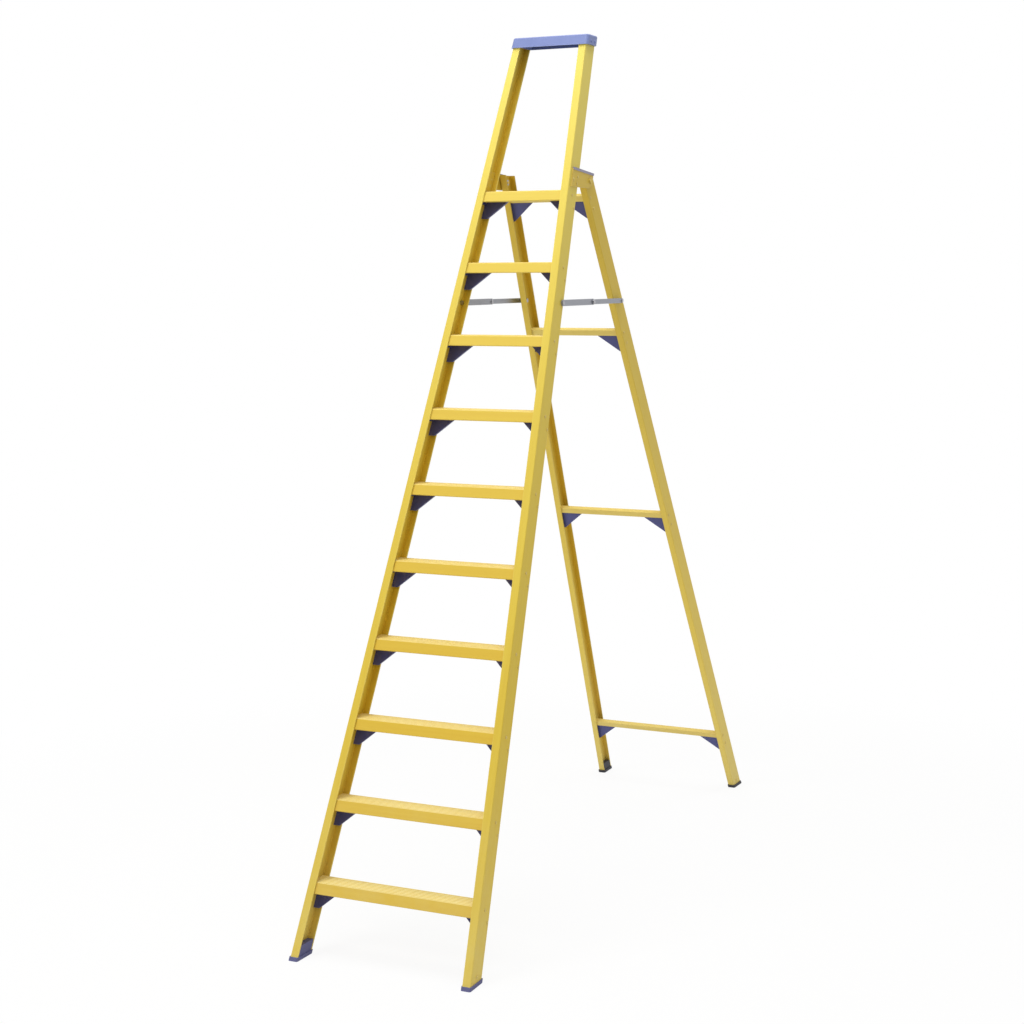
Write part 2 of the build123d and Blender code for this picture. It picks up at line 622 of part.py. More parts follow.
rail_stations = (RAIL_1_DOWN, RAIL_2_DOWN, RAIL_3_DOWN, RAIL_4_DOWN)
rear_rivets = []
rear_holes = []
for number, station in enumerate(rail_stations, start=1):
    upper = station - RAIL_HEIGHT / 2
    lower = station + RAIL_HEIGHT / 2
    shell = rear_box(upper, lower, rail_front, rail_front + RAIL_DEPTH)
    core = rear_box(
        upper + RAIL_WALL, lower - RAIL_WALL, rail_front + RAIL_WALL, rail_front + RAIL_DEPTH - RAIL_WALL
    )
    section = tube(shell, core, RAIL_CORNER)
    bar = extrude(Plane.YZ.offset(-FAR) * section, 2 * FAR, dir=(1, 0, 0))
    gap = RAIL_WALL + SLIP_FIT
    rail_back = rail_front + RAIL_DEPTH
    notch_front = rail_front + RAIL_WALL + NECK_LIP
    notch_back = rail_back - RAIL_WALL - NECK_LIP
    notch_outline = rear_box(lower - RAIL_WALL - CUT_MARGIN, lower + CUT_MARGIN, notch_front, notch_back)
    notch = rear_leg.cut(notch_outline, WALL - CUT_MARGIN, WALL + BRACKET_PLATE + SLIP_FIT)
    rail = between(bar, rear_leg, WALL) - notch - other_side(notch)
    solids[f"rear_rail_{number}"] = [rail]

    root = lower + RAIL_GUSSET_DROP
    gusset_front = rail_back - RAIL_GUSSET_DEPTH
    plate_outline = [
        rear_point(lower, rail_front),
        rear_point(lower + BRACKET_LIP, rail_front),
        rear_point(root, gusset_front),
        rear_point(root, rail_back),
        rear_point(lower, rail_back),
    ]
    plate = rear_leg.cut(plate_outline, WALL, WALL + BRACKET_PLATE)
    neck_outline = rear_box(lower - gap, lower, notch_front + SLIP_FIT, notch_back - SLIP_FIT)
    neck = rear_leg.cut(neck_outline, WALL, WALL + BRACKET_PLATE)
    plug_outline = rear_box(upper + gap, lower - gap, rail_front + gap, rail_back - gap)
    plug = rear_leg.cut(plug_outline, WALL, WALL + BRACKET_PLATE + BRACKET_PLUG)
    gusset_outline = rear_box(lower, root, gusset_front, rail_back)
    gusset = rear_leg.cut(gusset_outline, WALL, WALL + BRACKET_PLATE + RAIL_GUSSET_REACH)
    tip_y, tip_z = rear_point(lower, rail_front)
    root_y, root_z = rear_point(root, rail_front)
    tip_x = rear_leg.half_at(tip_z, rail_front) - WALL - BRACKET_PLATE - RAIL_GUSSET_REACH
    root_x = rear_leg.half_at(root_z, rail_front) - REAR_FLANGE
    slope_dir = (Vector(root_x, root_y, root_z) - Vector(tip_x, tip_y, tip_z)).normalized()
    slope_normal = slope_dir.cross(rear_leg.back()).normalized()
    if slope_normal.X < 0:
        slope_normal = slope_normal * -1
    slope_plane = Plane(Vector(tip_x, tip_y, tip_z), x_dir=slope_dir, z_dir=slope_normal)
    gusset = split(gusset, bisect_by=slope_plane, keep=Keep.TOP)
    bracket = plate + neck + plug + gusset

    rail_mid = rear_point(station, rail_front + RAIL_DEPTH / 2)
    gusset_mid = rear_point(lower + RAIL_GUSSET_DROP * RIVET_SHARE, gusset_front + RAIL_GUSSET_DEPTH / 2)
    for y, z in (rail_mid, gusset_mid):
        seat = rear_leg.web_point(z, rear_leg.depth_at(y, z))
        hole = rivet_hole(seat, rear_out, RIVET_GRIP)
        bracket = bracket - hole
        rear_holes.append(hole)
        rear_rivets += pair(rivet(seat, rear_out, RIVET_GRIP))
    solids[f"rear_rail_brackets_{number}"] = pair(bracket)

# Back feet.
rear_inner_front = WALL + ROOT_RADIUS
rear_inner_back = REAR_DEPTH - WALL - ROOT_RADIUS
sole = rear_leg.block(
    0.0, REAR_SOLE, -SOLE_MARGIN, REAR_DEPTH + SOLE_MARGIN, -SOLE_MARGIN, REAR_FLANGE + SOLE_MARGIN
)
upright = sole.edges().filter_by(lambda e: abs(e.tangent_at(0.5).Z) > 0.5)
sole = fillet(upright, SOLE_CORNER)
plug = rear_leg.block(REAR_SOLE, REAR_SOLE + REAR_PLUG, rear_inner_front, rear_inner_back, WALL, REAR_FLANGE)
seat = rear_leg.web_point(REAR_SOLE + REAR_PLUG / 2, REAR_DEPTH / 2)
hole = rivet_hole(seat, rear_out, RIVET_GRIP)
rear_holes.append(hole)
rear_rivets += pair(rivet(seat, rear_out, RIVET_GRIP))
rear_foot = sole + plug - hole
solids["rear_foot_right"] = [rear_foot]
solids["rear_foot_left"] = [other_side(rear_foot)]

# Stiles with all their holes.
front_stile = front_stile - front_holes
rear_stile = rear_stile - rear_holes
solids["front_stile_right"] = [front_stile]
solids["front_stile_left"] = [other_side(front_stile)]
solids["rear_stile_right"] = [rear_stile]
solids["rear_stile_left"] = [other_side(rear_stile)]
solids["front_rivets"] = front_rivets
solids["rear_rivets"] = rear_rivets

# The origin lies on the floor under the middle of the ladder's footprint.
front_edge_y = front_leg.y_at(0.0, -SOLE_MARGIN)
back_edge_y = rear_leg.y_at(0.0, REAR_DEPTH + SOLE_MARGIN)
centre_y = (front_edge_y + back_edge_y) / 2
for node, pieces in solids.items():
    loose = []
    for piece in pieces:
        loose += [solid.moved(Location((0.0, -centre_y, 0.0))) for solid in piece.solids()]
    shape = loose[0] if len(loose) == 1 else Compound(children=loose)
    export_step(shape, f"parts/{node}.step")
print("nodes", len(solids))
print("centre_y", centre_y)
print("pivot", pivot_y - centre_y, pivot_z, "front depth", pivot_front_depth)
print("stay front", stay_front_y - centre_y, "mid", stay_mid_y - centre_y, "rear", stay_rear_y - centre_y)
print("stay x", link_x, outer_link_x, "rear taper", rear_taper)
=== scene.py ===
"""Yellow fibreglass stepladder with a handrail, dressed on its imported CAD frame."""

import logging
import math
from dataclasses import dataclass, field
from enum import Enum
from typing import ClassVar

import bpy
from bpy.types import Material, Node, NodeSocket, NodeTree
from mathutils import Matrix, Vector

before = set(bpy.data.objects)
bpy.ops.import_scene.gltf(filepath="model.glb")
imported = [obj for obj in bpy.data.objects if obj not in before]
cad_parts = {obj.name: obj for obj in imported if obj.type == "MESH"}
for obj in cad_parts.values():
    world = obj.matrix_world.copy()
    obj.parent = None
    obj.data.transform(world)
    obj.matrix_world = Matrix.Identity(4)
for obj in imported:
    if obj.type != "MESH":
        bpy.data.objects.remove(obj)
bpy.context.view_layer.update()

LOG = logging.getLogger("stepladder")
Colour = tuple[float, float, float]
Point = tuple[float, float, float]
Span = tuple[float, float]

SIDES = ("left", "right")
WHITE: Colour = (1.0, 1.0, 1.0)

# The display curve between eight-bit and linear colour.
DISPLAY_FULL = 255.0
CURVE_KNEE = 0.04045
CURVE_SLOPE = 12.92
CURVE_OFFSET = 0.055
CURVE_POWER = 2.4

# Sockets of the colour Mix node, which it tells apart only by place.
MIX_SHARE, MIX_LOW, MIX_HIGH, MIX_RESULT = 0, 6, 7, 2


class Grain(Enum):
    """Which way the pulled fibres of a section run: up a stile of some lean, in degrees, or across."""

    FRONT_STILE = 24.0
    BACK_STILE = -27.0
    ACROSS = 0.0


class Skin(Enum):
    """The ladder's finishes, by the names of their materials."""

    FRONT_STILE = "front_stile_fibreglass"
    BACK_STILE = "back_stile_fibreglass"
    TREAD = "tread_fibreglass"
    RAIL = "rail_fibreglass"
    BRACKET = "bracket_plastic"
    CAP = "cap_plastic"
    FRONT_FOOT = "front_foot_rubber"
    BACK_FOOT = "back_foot_rubber"
    HINGE_STRIP = "hinge_strip_plastic"
    HINGE_PLATE = "hinge_plate_paint"
    RIVET = "rivet_paint"
    STAY = "stay_metal"
    BOLT = "bolt_steel"


def linear(red: int, green: int, blue: int) -> Colour:
    """Linear colour of an eight-bit display colour.

    Args:
        red: Red from 0 to 255.
        green: Green from 0 to 255.
        blue: Blue from 0 to 255.

    Returns:
        The three linear channels.
    """
    def channel(value: int) -> float:
        """One channel, from display to linear.

        Args:
            value: The channel from 0 to 255.

        Returns:
            The channel from 0 to 1.
        """
        share = value / DISPLAY_FULL
        if share <= CURVE_KNEE:
            return share / CURVE_SLOPE
        return ((share + CURVE_OFFSET) / (1.0 + CURVE_OFFSET)) ** CURVE_POWER

    return channel(red), channel(green), channel(blue)


def lightened(colour: Colour, gain: float, lift: float) -> Colour:
    """A paler colour, for skin that is rubbed.

    Args:
        colour: The colour to start from.
        gain: Factor on each channel.
        lift: Amount added to each channel.

    Returns:
        The paler colour, at most white.
    """
    return tuple(min(1.0, channel * gain + lift) for channel in colour)


class NodeSheet:
    """Short-hand for placing and joining shader nodes in one tree."""

    def __init__(self, tree: NodeTree) -> None:
        """Keep the tree that the nodes go into."""
        self.tree = tree

    def add(self, kind: str, **settings: object) -> Node:
        """Place one node.

        Args:
            kind: Blender's node type.
            settings: Node properties to set.

        Returns:
            The new node.
        """
        node = self.tree.nodes.new(kind)
        for name, value in settings.items():
            setattr(node, name, value)
        return node

    def join(self, source: NodeSocket, target: NodeSocket) -> None:
        """Link two sockets."""
        self.tree.links.new(source, target)

    def feed(self, value: NodeSocket | float, target: NodeSocket) -> None:
        """Link a socket to an input, or set a plain number on it.

        Args:
            value: Socket or number.
            target: The input.
        """
        if isinstance(value, NodeSocket):
            self.join(value, target)
        else:
            target.default_value = float(value)

    def math(self, operation: str, first: NodeSocket | float, second: NodeSocket | float) -> NodeSocket:
        """A math node fed with sockets or plain numbers.

        Args:
            operation: Blender's name of the operation.
            first: Socket or number.
            second: Socket or number.

        Returns:
            The result socket.
        """
        node = self.add("ShaderNodeMath", operation=operation)
        self.feed(first, node.inputs[0])
        self.feed(second, node.inputs[1])
        return node.outputs[0]

    def blend(self, share: NodeSocket, low: NodeSocket | Colour, high: NodeSocket | Colour) -> NodeSocket:
        """Mix two colours by a mask.

        Args:
            share: Mask socket.
            low: Colour or socket where the mask is 0.
            high: Colour or socket where the mask is 1.

        Returns:
            The mixed colour socket.
        """
        node = self.add("ShaderNodeMix", data_type="RGBA")
        self.join(share, node.inputs[MIX_SHARE])
        for place, value in ((MIX_LOW, low), (MIX_HIGH, high)):
            if isinstance(value, NodeSocket):
                self.join(value, node.inputs[place])
            else:
                node.inputs[place].default_value = (*value, 1.0)
        return node.outputs[MIX_RESULT]

    def spread(self, value: NodeSocket, span: Span) -> NodeSocket:
        """Map a 0 to 1 value onto a range.

        Args:
            value: Socket to map.
            span: Results at 0 and at 1.

        Returns:
            The mapped socket.
        """
        node = self.add("ShaderNodeMapRange")
        node.inputs["To Min"].default_value, node.inputs["To Max"].default_value = span
        self.join(value, node.inputs["Value"])
        return node.outputs["Result"]

    def smooth_step(self, value: NodeSocket, start: float, end: float) -> Node:
        """Ease from 0 to 1 between two values.

        Args:
            value: Socket to map.
            start: Value where the step starts.
            end: Value where it ends.

        Returns:
            The node, whose To Min and To Max may still be set.
        """
        node = self.add("ShaderNodeMapRange", interpolation_type="SMOOTHSTEP")
        node.inputs["From Min"].default_value = start
        node.inputs["From Max"].default_value = end
        self.join(value, node.inputs["Value"])
        return node

    def noise(self, vector: NodeSocket, scale: NodeSocket | float, detail: float) -> Node:
        """Cloudy noise.

        Args:
            vector: Coordinates.
            scale: Socket or number.
            detail: How many finer layers there are.

        Returns:
            The noise node, with its value as the first output.
        """
        node = self.add("ShaderNodeTexNoise")
        node.inputs["Detail"].default_value = detail
        self.feed(scale, node.inputs["Scale"])
        self.join(vector, node.inputs["Vector"])
        return node

    def height_of(self, vector: NodeSocket) -> NodeSocket:
        """The Z part of a vector.

        Args:
            vector: A place or a direction.

        Returns:
            Its Z socket.
        """
        parts = self.add("ShaderNodeSeparateXYZ")
        self.join(vector, parts.inputs[0])
        return parts.outputs["Z"]


class Effects:
    """Surface effects that several finishes share, each one node group. Reaches are in metres."""

    STREAK_SCALE = 1.0
    STREAK_DETAIL = 4.0
    SPECKLE_SCALE = 9.0
    SPECKLE_DETAIL = 2.0
    SPECKLE_SHARE = 0.35
    MIDDLE_TONE = 0.5
    CLOUD_DETAIL = 3.0
    SCUFF_SCALE = 11.0
    SCUFF_DETAIL = 6.0
    SCUFF_ROUGHNESS = 0.7
    SCUFF_FROM = 0.56
    SCUFF_GAIN = 4.0
    UPWARD_FROM = 0.5
    UPWARD_FULL = 0.9
    TOP_SHEEN_SCALE = 7.0
    TOP_SHEEN_DETAIL = 5.0
    TOP_SHEEN_BREAK: Span = (0.7, 1.3)
    EDGE_REACH = 0.0028
    EDGE_SCALE = 42.0
    EDGE_DETAIL = 5.0
    EDGE_BREAK: Span = (-0.6, 2.6)
    HOLLOW_SHADE_REACH = 0.05
    HOLLOW_SAMPLES = 6

    def __init__(self) -> None:
        """Build every group once."""
        self.fibre = self.build_fibre()
        self.pebble = self.build_pebble()
        self.handling = self.build_handling()
        self.top_sheen = self.build_top_sheen()
        self.edge_rub = self.build_edge_rub()
        self.hollow_shade = self.build_hollow_shade()

    @staticmethod
    def open_group(
        name: str, numbers: dict[str, float], outputs: list[str], placed: bool = True
    ) -> tuple[NodeTree, NodeSheet, Node, Node]:
        """Start a node group.

        Args:
            name: Name of the group.
            numbers: Number inputs with their usual values.
            outputs: Names of the value outputs.
            placed: Whether the group takes coordinates.

        Returns:
            The group, its sheet, and its input and output nodes.
        """
        group = bpy.data.node_groups.new(name, "ShaderNodeTree")
        if placed:
            group.interface.new_socket("Vector", in_out="INPUT", socket_type="NodeSocketVector")
        for label, value in numbers.items():
            socket = group.interface.new_socket(label, in_out="INPUT", socket_type="NodeSocketFloat")
            socket.default_value = value
        for label in outputs:
            group.interface.new_socket(label, in_out="OUTPUT", socket_type="NodeSocketFloat")
        sheet = NodeSheet(group)
        return group, sheet, sheet.add("NodeGroupInput"), sheet.add("NodeGroupOutput")

    def build_fibre(self) -> NodeTree:
        """Long drawn streaks with a fine cross speckle.

        Returns:
            The group, with Tone and Height outputs.
        """
        group, sheet, inner, outer = self.open_group(
            "drawn_fibre", {"Streaks": 1.0, "Speckle": 1.0}, ["Tone", "Height"]
        )
        where = inner.outputs["Vector"]
        streak = sheet.noise(where, self.STREAK_SCALE, self.STREAK_DETAIL)
        speckle = sheet.noise(where, self.SPECKLE_SCALE, self.SPECKLE_DETAIL)
        streak_swing = sheet.math("SUBTRACT", streak.outputs[0], self.MIDDLE_TONE)
        speckle_swing = sheet.math("SUBTRACT", speckle.outputs[0], self.MIDDLE_TONE)
        drawn = sheet.math("MULTIPLY", streak_swing, inner.outputs["Streaks"])
        dots = sheet.math("MULTIPLY", speckle_swing, inner.outputs["Speckle"])
        total = sheet.math("ADD", drawn, sheet.math("MULTIPLY", dots, self.SPECKLE_SHARE))
        sheet.join(sheet.math("ADD", total, self.MIDDLE_TONE), outer.inputs["Tone"])
        sheet.join(sheet.math("ADD", drawn, dots), outer.inputs["Height"])
        return group

    def build_pebble(self) -> NodeTree:
        """Fine moulded grain of plastic and rubber.

        Returns:
            The group, with Tone and Height outputs.
        """
        group, sheet, inner, outer = self.open_group(
            "moulded_pebble", {"Fineness": 900.0, "Cloud": 14.0}, ["Tone", "Height"]
        )
        cells = sheet.add("ShaderNodeTexVoronoi")
        sheet.join(inner.outputs["Vector"], cells.inputs["Vector"])
        sheet.join(inner.outputs["Fineness"], cells.inputs["Scale"])
        cloud = sheet.noise(inner.outputs["Vector"], inner.outputs["Cloud"], self.CLOUD_DETAIL)
        sheet.join(cloud.outputs[0], outer.inputs["Tone"])
        sheet.join(cells.outputs["Distance"], outer.inputs["Height"])
        return group

    def build_handling(self) -> NodeTree:
        """Patchy scuffs, and a patchy mask that grows towards the floor.

        Returns:
            The group, with Scuff and TowardsFloor outputs.
        """
        group, sheet, inner, outer = self.open_group(
            "site_handling", {"Scuffs": 0.5, "Reach": 0.5}, ["Scuff", "TowardsFloor"]
        )
        patch = sheet.noise(inner.outputs["Vector"], self.SCUFF_SCALE, self.SCUFF_DETAIL)
        patch.inputs["Roughness"].default_value = self.SCUFF_ROUGHNESS
        raised = sheet.math("SUBTRACT", patch.outputs[0], self.SCUFF_FROM)
        scuff = sheet.math("MULTIPLY", sheet.math("MAXIMUM", raised, 0.0), self.SCUFF_GAIN)
        sheet.join(sheet.math("MULTIPLY", scuff, inner.outputs["Scuffs"]), outer.inputs["Scuff"])
        rise = sheet.math("DIVIDE", sheet.height_of(inner.outputs["Vector"]), inner.outputs["Reach"])
        low = sheet.math("MAXIMUM", sheet.math("SUBTRACT", 1.0, rise), 0.0)
        sheet.join(sheet.math("MULTIPLY", low, patch.outputs[0]), outer.inputs["TowardsFloor"])
        return group

    def build_top_sheen(self) -> NodeTree:
        """Mask of faces that point up, broken up by noise, for a painted sheen of light from above.

        Returns:
            The group, with a Sheen output.
        """
        group, sheet, inner, outer = self.open_group("painted_top_sheen", {"Reach": 0.8}, ["Wear"])
        facing = sheet.height_of(sheet.add("ShaderNodeNewGeometry").outputs["Normal"])
        upward = sheet.smooth_step(facing, self.UPWARD_FROM, self.UPWARD_FULL)
        patch = sheet.noise(inner.outputs["Vector"], self.TOP_SHEEN_SCALE, self.TOP_SHEEN_DETAIL)
        broken = sheet.spread(patch.outputs[0], self.TOP_SHEEN_BREAK)
        rubbed = sheet.math("MULTIPLY", broken, inner.outputs["Reach"])
        worn = sheet.math("MULTIPLY", upward.outputs["Result"], rubbed)
        sheet.join(sheet.math("MINIMUM", worn, 1.0), outer.inputs["Wear"])
        return group

    def build_edge_rub(self) -> NodeTree:
        """Broken mask along outer edges, where handling rubs the skin.

        Returns:
            The group, with a Rub output.
        """
        group, sheet, inner, outer = self.open_group("edge_rub", {"Amount": 1.0}, ["Rub"])
        near_edge = sheet.add(
            "ShaderNodeAmbientOcclusion", inside=True, only_local=True, samples=self.HOLLOW_SAMPLES
        )
        near_edge.inputs["Distance"].default_value = self.EDGE_REACH
        close = sheet.math("SUBTRACT", 1.0, near_edge.outputs["AO"])
        patch = sheet.noise(inner.outputs["Vector"], self.EDGE_SCALE, self.EDGE_DETAIL)
        broken = sheet.math("MULTIPLY", close, sheet.spread(patch.outputs[0], self.EDGE_BREAK))
        rub = sheet.math("MULTIPLY", sheet.math("MAXIMUM", broken, 0.0), inner.outputs["Amount"])
        sheet.join(sheet.math("MINIMUM", rub, 1.0), outer.inputs["Rub"])
        return group

    def build_hollow_shade(self) -> NodeTree:
        """Mask of hollows, for painted shade in recesses such as the stile channels.

        Returns:
            The group, with a Shelter output.
        """
        group, sheet, inner, outer = self.open_group(
            "painted_hollow_shade", {"Depth": 2.0}, ["Shelter"], placed=False
        )
        open_sky = sheet.add(
            "ShaderNodeAmbientOcclusion", only_local=True, samples=self.HOLLOW_SAMPLES
        )
        open_sky.inputs["Distance"].default_value = self.HOLLOW_SHADE_REACH
        hollow = sheet.math("SUBTRACT", 1.0, open_sky.outputs["AO"])
        deep = sheet.math("MULTIPLY", hollow, inner.outputs["Depth"])
        sheet.join(sheet.math("MINIMUM", deep, 1.0), outer.inputs["Shelter"])
        return group


@dataclass(frozen=True)
class Finish:
    """A surface finish: its colours, how rough it is and how deep its grain is."""

    skin: Skin
    colour: Colour
    shade: Colour
    rough: Span
    bump: float

    grain_depth: ClassVar[float] = 0.0004

    def start(self) -> tuple[Material, NodeSheet, Node, NodeSocket]:
        """Open the material.

        Returns:
            The material, its sheet, its surface shader and the object's coordinates.
        """
        material = bpy.data.materials.new(self.skin.value)
        material.use_nodes = True
        sheet = NodeSheet(material.node_tree)
        surface = material.node_tree.nodes["Principled BSDF"]
        return material, sheet, surface, sheet.add("ShaderNodeTexCoord").outputs["Object"]

    @staticmethod
    def place(sheet: NodeSheet, group: NodeTree, vector: NodeSocket | None, **values: float) -> Node:
        """Place a shared effect with a finish's own values.

        Args:
            sheet: Sheet of the material.
            group: The effect.
            vector: Coordinates to use, where the effect takes any.
            values: Number inputs by name.

        Returns:
            The group node.
        """
        node = sheet.add("ShaderNodeGroup", node_tree=group)
        if vector is not None:
            sheet.join(vector, node.inputs["Vector"])
        for label, value in values.items():
            node.inputs[label].default_value = value
        return node

    @staticmethod
    def stretched(sheet: NodeSheet, vector: NodeSocket, scale: Point, turn: float = 0.0) -> NodeSocket:
        """Coordinates drawn out along a section.

        Args:
            sheet: Sheet of the material.
            vector: Coordinates to draw out.
            scale: Length of the pattern along each axis.
            turn: Turn about the sideways axis, in radians.

        Returns:
            The new coordinates.
        """
        node = sheet.add("ShaderNodeMapping", vector_type="TEXTURE")
        node.inputs["Rotation"].default_value = (turn, 0.0, 0.0)
        node.inputs["Scale"].default_value = scale
        sheet.join(vector, node.inputs["Vector"])
        return node.outputs["Vector"]

    def roughen(
        self, sheet: NodeSheet, surface: Node, tone: NodeSocket, scuff: NodeSocket, share: float
    ) -> None:
        """Vary the roughness with the grain, and raise it on scuffs.

        Args:
            sheet: Sheet of the material.
            surface: The surface shader.
            tone: Tone of the grain.
            scuff: Mask of scuffs.
            share: Roughness that a full scuff adds.
        """
        grain = sheet.spread(tone, self.rough)
        rough = sheet.math("ADD", grain, sheet.math("MULTIPLY", scuff, share))
        sheet.join(rough, surface.inputs["Roughness"])

    def relief(self, sheet: NodeSheet, surface: Node, height: NodeSocket) -> None:
        """Feed the grain's height into the surface normal.

        Args:
            sheet: Sheet of the material.
            surface: The surface shader.
            height: Height of the grain.
        """
        bump = sheet.add("ShaderNodeBump")
        bump.inputs["Strength"].default_value = self.bump
        bump.inputs["Distance"].default_value = self.grain_depth
        sheet.join(height, bump.inputs["Height"])
        sheet.join(bump.outputs["Normal"], surface.inputs["Normal"])


@dataclass(frozen=True)
class Fibreglass(Finish):
    """Pulled fibreglass with streaks along the section, and painted light and shade that change its
    colour with height.
    """

    top_lighting_and_wear: Colour
    grain: Grain
    top_sheen_colour: Colour | None = None

    low_pale_colour: ClassVar[Colour] = (0.73, 0.63, 0.27)
    # Painted shade: deep gold-brown colour for hollows such as the inside of the stile channels.
    hollow_shade_colour: ClassVar[Colour] = (0.66, 0.43, 0.025)
    grain_upright: ClassVar[Point] = (0.012, 0.012, 0.5)
    grain_across: ClassVar[Point] = (0.5, 0.012, 0.012)
    top_lighting_rate: ClassVar[float] = 0.325
    top_lighting_power: ClassVar[float] = 2.0
    top_lighting_limit: ClassVar[float] = 0.85
    scuff_fade: ClassVar[float] = 0.25
    scuff_roughness: ClassVar[float] = 0.2
    low_pale_share: ClassVar[float] = 0.65
    bare_gain: ClassVar[float] = 1.12
    bare_lift: ClassVar[float] = 0.05
    gloss: ClassVar[float] = 0.12

    def make(self, effects: Effects) -> Material:
        """Build the material.

        Args:
            effects: The shared effects.

        Returns:
            The finished material.
        """
        material, sheet, surface, where = self.start()
        length = self.grain_across if self.grain is Grain.ACROSS else self.grain_upright
        along = self.stretched(sheet, where, length, -math.radians(self.grain.value))
        fibre = self.place(sheet, effects.fibre, along, Streaks=1.1, Speckle=0.6)
        handling = self.place(sheet, effects.handling, where, Scuffs=0.35, Reach=0.7)
        hollow_shade = self.place(sheet, effects.hollow_shade, None, Depth=2.2)
        edge = self.place(sheet, effects.edge_rub, where, Amount=0.7)
        scuff = handling.outputs["Scuff"]

        drawn = sheet.blend(fibre.outputs["Tone"], self.shade, self.colour)
        # Painted light and shade: the colour shifts with height, paler towards the top of the front
        # stiles and treads and darker towards the top of the back stiles as shade under the front frame.
        # The same colour also serves scuffs and rubbed edges.
        rise = sheet.math("MULTIPLY", sheet.height_of(where), self.top_lighting_rate)
        top_lighting = sheet.math("MINIMUM", sheet.math("POWER", rise, self.top_lighting_power), self.top_lighting_limit)
        lit_by_height = sheet.blend(top_lighting, drawn, self.top_lighting_and_wear)
        # Painted shade: hollows such as the stile channels turn deep gold-brown, where shade falls.
        hollow_shaded = sheet.blend(hollow_shade.outputs["Shelter"], lit_by_height, self.hollow_shade_colour)
        worn = sheet.blend(sheet.math("MULTIPLY", scuff, self.scuff_fade), hollow_shaded, self.top_lighting_and_wear)
        # Paler towards the floor, in patches.
        low_pale_mask = sheet.math("MULTIPLY", handling.outputs["TowardsFloor"], self.low_pale_share)
        toned = sheet.blend(low_pale_mask, worn, self.low_pale_colour)
        # Painted light: faces that point up turn pale in patches, as sheen and light from above.
        if self.top_sheen_colour is not None:
            top_sheen = self.place(sheet, effects.top_sheen, where, Reach=0.9)
            toned = sheet.blend(top_sheen.outputs["Wear"], toned, self.top_sheen_colour)
        bared = lightened(self.top_lighting_and_wear, self.bare_gain, self.bare_lift)
        sheet.join(sheet.blend(edge.outputs["Rub"], toned, bared), surface.inputs["Base Color"])

        self.roughen(sheet, surface, fibre.outputs["Tone"], scuff, self.scuff_roughness)
        surface.inputs["Specular IOR Level"].default_value = self.gloss
        self.relief(sheet, surface, fibre.outputs["Height"])
        return material


@dataclass(frozen=True)
class Moulded(Finish):
    """Moulded plastic or rubber with a pebbled skin."""

    fineness: float = 900.0
    scuffs: float = 0.4

    scuff_pale: ClassVar[float] = 0.35
    scuff_roughness: ClassVar[float] = 0.2
    pale_gain: ClassVar[float] = 1.5
    pale_lift: ClassVar[float] = 0.02
    gloss: ClassVar[float] = 0.4

    def make(self, effects: Effects) -> Material:
        """Build the material.

        Args:
            effects: The shared effects.

        Returns:
            The finished material.
        """
        material, sheet, surface, where = self.start()
        pebble = self.place(sheet, effects.pebble, where, Fineness=self.fineness)
        handling = self.place(sheet, effects.handling, where, Scuffs=self.scuffs, Reach=0.25)
        edge = self.place(sheet, effects.edge_rub, where, Amount=self.scuffs)
        scuff = handling.outputs["Scuff"]

        skin = sheet.blend(pebble.outputs["Tone"], self.shade, self.colour)
        pale = lightened(self.colour, self.pale_gain, self.pale_lift)
        worn = sheet.blend(sheet.math("MULTIPLY", scuff, self.scuff_pale), skin, pale)
        sheet.join(sheet.blend(edge.outputs["Rub"], worn, pale), surface.inputs["Base Color"])

        self.roughen(sheet, surface, pebble.outputs["Tone"], scuff, self.scuff_roughness)
        surface.inputs["Specular IOR Level"].default_value = self.gloss
        self.relief(sheet, surface, pebble.outputs["Height"])
        return material


@dataclass(frozen=True)
class Metal(Finish):
    """Drawn metal bar with fine lines along it, bare or painted."""

    metallic: float

    line_length: ClassVar[Point] = (0.002, 0.08, 0.002)
    scuff_shade: ClassVar[float] = 0.3
    scuff_roughness: ClassVar[float] = 0.15
    rubbed: ClassVar[Colour] = (0.5, 0.5, 0.52)
    gloss: ClassVar[float] = 0.2

    def make(self, effects: Effects) -> Material:
        """Build the material.

        Args:
            effects: The shared effects.

        Returns:
            The finished material.
        """
        material, sheet, surface, where = self.start()
        along = self.stretched(sheet, where, self.line_length)
        lines = self.place(sheet, effects.fibre, along, Streaks=1.0, Speckle=0.3)
        handling = self.place(sheet, effects.handling, where, Scuffs=0.6, Reach=0.4)
        edge = self.place(sheet, effects.edge_rub, where, Amount=0.35)
        scuff = handling.outputs["Scuff"]

        drawn = sheet.blend(lines.outputs["Tone"], self.shade, self.colour)
        worn = sheet.blend(sheet.math("MULTIPLY", scuff, self.scuff_shade), drawn, self.shade)
        sheet.join(sheet.blend(edge.outputs["Rub"], worn, self.rubbed), surface.inputs["Base Color"])

        self.roughen(sheet, surface, lines.outputs["Tone"], scuff, self.scuff_roughness)
        surface.inputs["Metallic"].default_value = self.metallic
        surface.inputs["Specular IOR Level"].default_value = self.gloss
        self.relief(sheet, surface, lines.outputs["Height"])
        return material


